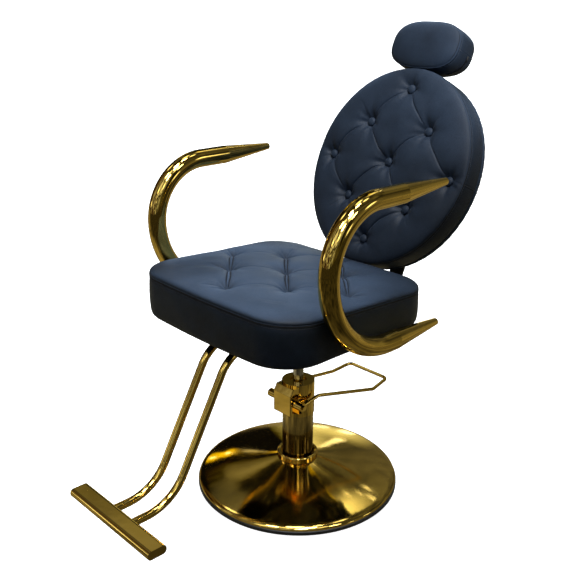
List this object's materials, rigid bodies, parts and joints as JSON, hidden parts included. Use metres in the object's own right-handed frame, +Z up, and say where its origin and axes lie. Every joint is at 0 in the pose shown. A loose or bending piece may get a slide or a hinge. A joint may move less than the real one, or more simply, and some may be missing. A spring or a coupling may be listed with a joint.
{
  "type": "threading chair",
  "caption": "Salon threading chair: tufted seat and round reclining back, headrest, C-shaped gold armrests, T footrest, hydraulic pump on a round base.",
  "frame": {"origin": "centre of the round base, on the floor, on the axis of the pump's column", "axes": "+Z up along the column, -Y the way the sitter faces (the footrest's side), +X the sitter's left"},
  "size_m": [0.6278, 1.1033, 1.1362],
  "materials": {
    "gold": "polished gold plating",
    "steel": "bright zinc",
    "chrome": "hard chrome, polished",
    "black_steel": "black powder coat",
    "iron": "cast, painted grey",
    "rubber": "black moulded rubber",
    "bronze": "plain bearing bronze",
    "wood": "birch plywood",
    "leather": "soft black-blue upholstery leather",
    "foam": "cut upholstery foam",
    "plastic": "black moulded plastic"
  },
  "bodies": {
    "base": {"base_edge_ring": "rubber", "base_weight_plate": "iron", "base_disc": "gold", "base_collar": "gold", "pump_flange": "black_steel", "flange_bolts": "steel", "pump_column": "gold", "pump_cylinder": "steel", "pump_head": "gold", "pump_gland": "gold"},
    "lever": {"lever_pin": "gold", "lever_cam": "steel", "lever_loop": "gold", "lever_clamps": "gold", "lever_screws": "gold"},
    "plunger": {"pump_plunger": "steel"},
    "piston": {"piston_head": "steel", "piston_seal": "rubber", "piston_rod": "chrome", "thrust_washer": "bronze"},
    "seat": {"frame_plate": "black_steel", "frame_bolts": "steel", "swivel_hub": "black_steel", "swivel_bush": "bronze", "footrest_sockets": "black_steel", "socket_screws": "steel", "footrest_tube_left": "gold", "footrest_tube_right": "gold", "footrest_bar": "gold", "footrest_caps": "gold", "seat_board": "wood", "seat_foam": "foam", "seat_cushion": "leather", "armrest_left": "gold", "armrest_right": "gold", "arm_brackets": "black_steel", "arm_bolts": "steel", "hinge_brackets": "black_steel", "hinge_bolts": "steel", "hinge_pin": "steel", "friction_washers": "plastic"},
    "clamp": {"clamp_handle": "black_steel", "clamp_knob": "plastic"},
    "back": {"back_bar_left": "black_steel", "back_bar_right": "black_steel", "back_bar_bolts": "steel", "back_board": "wood", "back_foam": "foam", "back_cushion": "leather", "back_buttons": "leather", "back_rear_cover": "leather", "headrest_sleeve": "black_steel", "sleeve_bolts": "steel"},
    "knob": {"headrest_knob": "plastic"},
    "post": {"headrest_post": "chrome"},
    "headrest": {"headrest_bracket": "black_steel", "headrest_pin": "steel", "headrest_board": "wood", "headrest_foam": "foam", "headrest_cushion": "leather"}
  },
  "joints": [
    {"name": "lever_pump", "type": "hinge", "parent": "base", "child": "lever", "pos_m": [0, -0.04, 0.238], "axis": [-1, 0, 0], "range_deg": [-6, 24]},
    {"name": "plunger_stroke", "type": "slide", "parent": "base", "child": "plunger", "axis": [0, 0, -1], "range_m": [-0.002, 0.006]},
    {"name": "seat_lift", "type": "slide", "parent": "base", "child": "piston", "axis": [0, 0, 1], "range_m": [-0.03, 0.11]},
    {"name": "seat_swivel", "type": "hinge", "parent": "piston", "child": "seat", "pos_m": [0, 0, 0.434], "axis": [0, 0, 1], "continuous": true},
    {"name": "back_recline", "type": "hinge", "parent": "seat", "child": "back", "pos_m": [0, 0.205, 0.466], "axis": [-1, 0, 0], "range_deg": [-8, 28]},
    {"name": "recline_clamp", "type": "hinge", "parent": "seat", "child": "clamp", "pos_m": [0, 0.205, 0.466], "axis": [1, 0, 0], "range_deg": [0, 70]},
    {"name": "headrest_knob_turn", "type": "hinge", "parent": "back", "child": "knob", "pos_m": [0, 0.46855, 0.88139], "axis": [0, 0.9139, -0.4059], "range_deg": [0, 180]},
    {"name": "headrest_height", "type": "slide", "parent": "back", "child": "post", "axis": [0, 0.4059, 0.9139], "range_m": [0, 0.08]},
    {"name": "headrest_tilt", "type": "hinge", "parent": "post", "child": "headrest", "pos_m": [0, 0.52193, 1.04589], "axis": [-1, 0, 0], "range_deg": [0, 20]}
  ],
  "couplings": [
    {"joint": "plunger_stroke", "follows": "lever_pump", "m_per_rad": 0.013}
  ]
}
